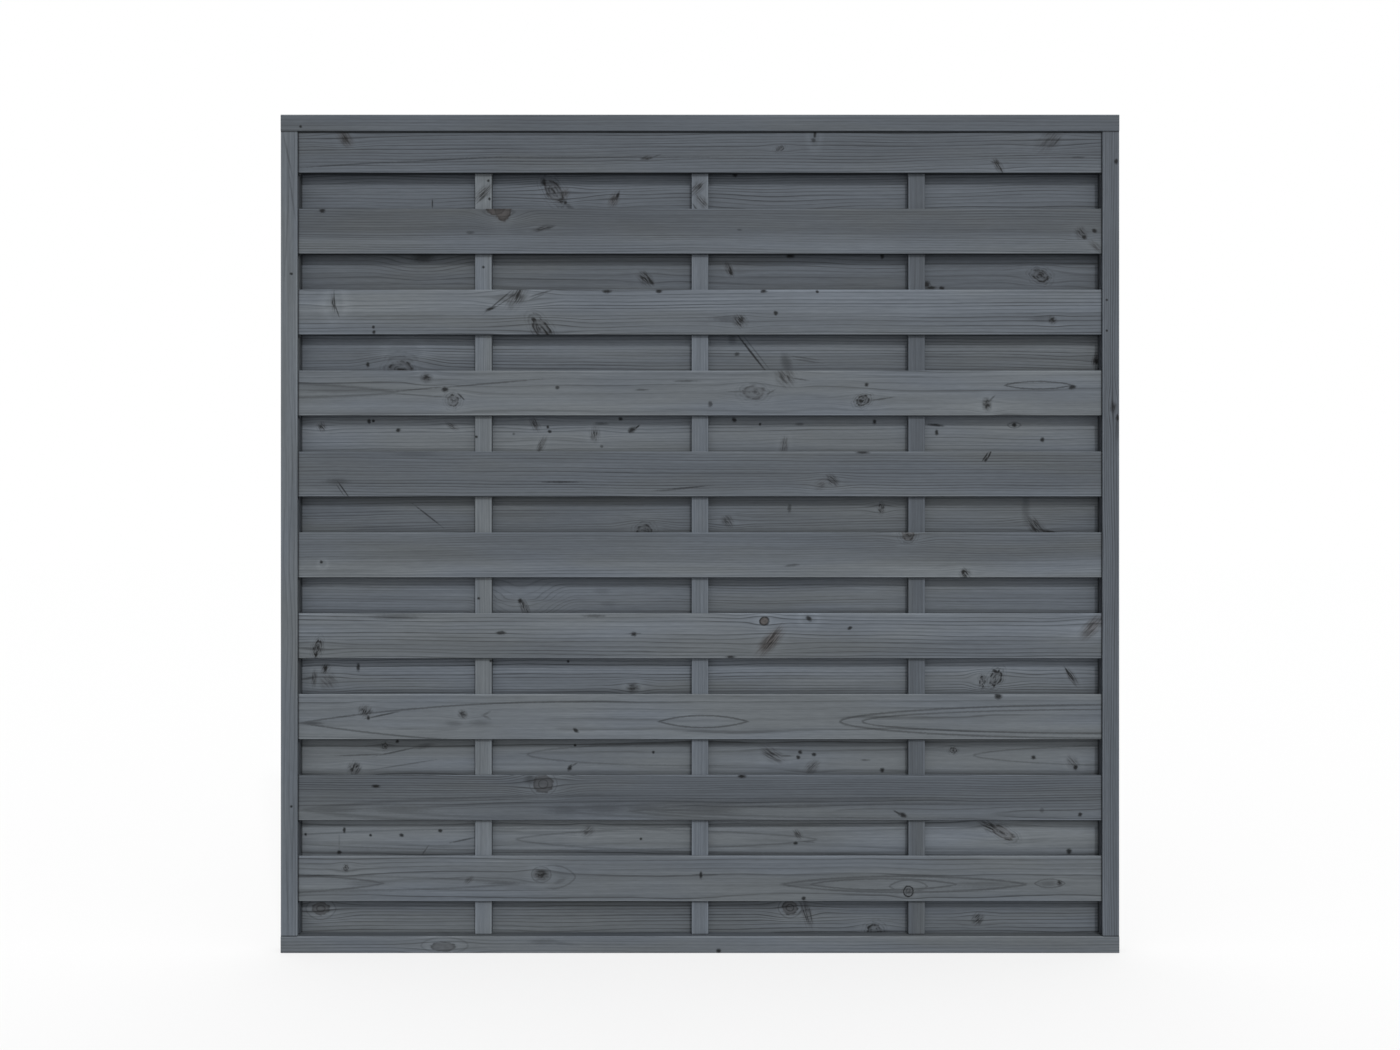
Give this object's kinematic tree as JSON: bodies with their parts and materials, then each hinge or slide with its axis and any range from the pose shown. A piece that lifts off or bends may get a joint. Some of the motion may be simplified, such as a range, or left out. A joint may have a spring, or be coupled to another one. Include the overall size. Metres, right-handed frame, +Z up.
{
  "type": "privacy fence panel",
  "caption": "Square privacy fence panel: a grooved timber frame holds overlapping level slats, laid by turns in front of and behind upright battens, in grey-blue stain.",
  "frame": {"origin": "middle of the panel's underside", "axes": "+X along the slats to the right as seen from the front, -Y out of the front, +Z up"},
  "size_m": [1.8, 0.042, 1.8],
  "materials": {
    "frame_timber": "grey-blue stain",
    "slat_timber": "grey-blue stain",
    "batten_timber": "grey-blue stain",
    "zinc_steel": "zinc plated"
  },
  "bodies": {
    "root": {"top_rail": "frame_timber", "bottom_rail": "frame_timber", "left_stile": "frame_timber", "right_stile": "frame_timber", "front_slat_01": "slat_timber", "front_slat_02": "slat_timber", "front_slat_03": "slat_timber", "front_slat_04": "slat_timber", "front_slat_05": "slat_timber", "front_slat_06": "slat_timber", "front_slat_07": "slat_timber", "front_slat_08": "slat_timber", "front_slat_09": "slat_timber", "front_slat_10": "slat_timber", "back_slat_01": "slat_timber", "back_slat_02": "slat_timber", "back_slat_03": "slat_timber", "back_slat_04": "slat_timber", "back_slat_05": "slat_timber", "back_slat_06": "slat_timber", "back_slat_07": "slat_timber", "back_slat_08": "slat_timber", "back_slat_09": "slat_timber", "back_slat_10": "slat_timber", "left_batten": "batten_timber", "centre_batten": "batten_timber", "right_batten": "batten_timber", "corner_screws": "zinc_steel", "front_slat_staples": "zinc_steel", "back_slat_staples": "zinc_steel"}
  },
  "joints": []
}
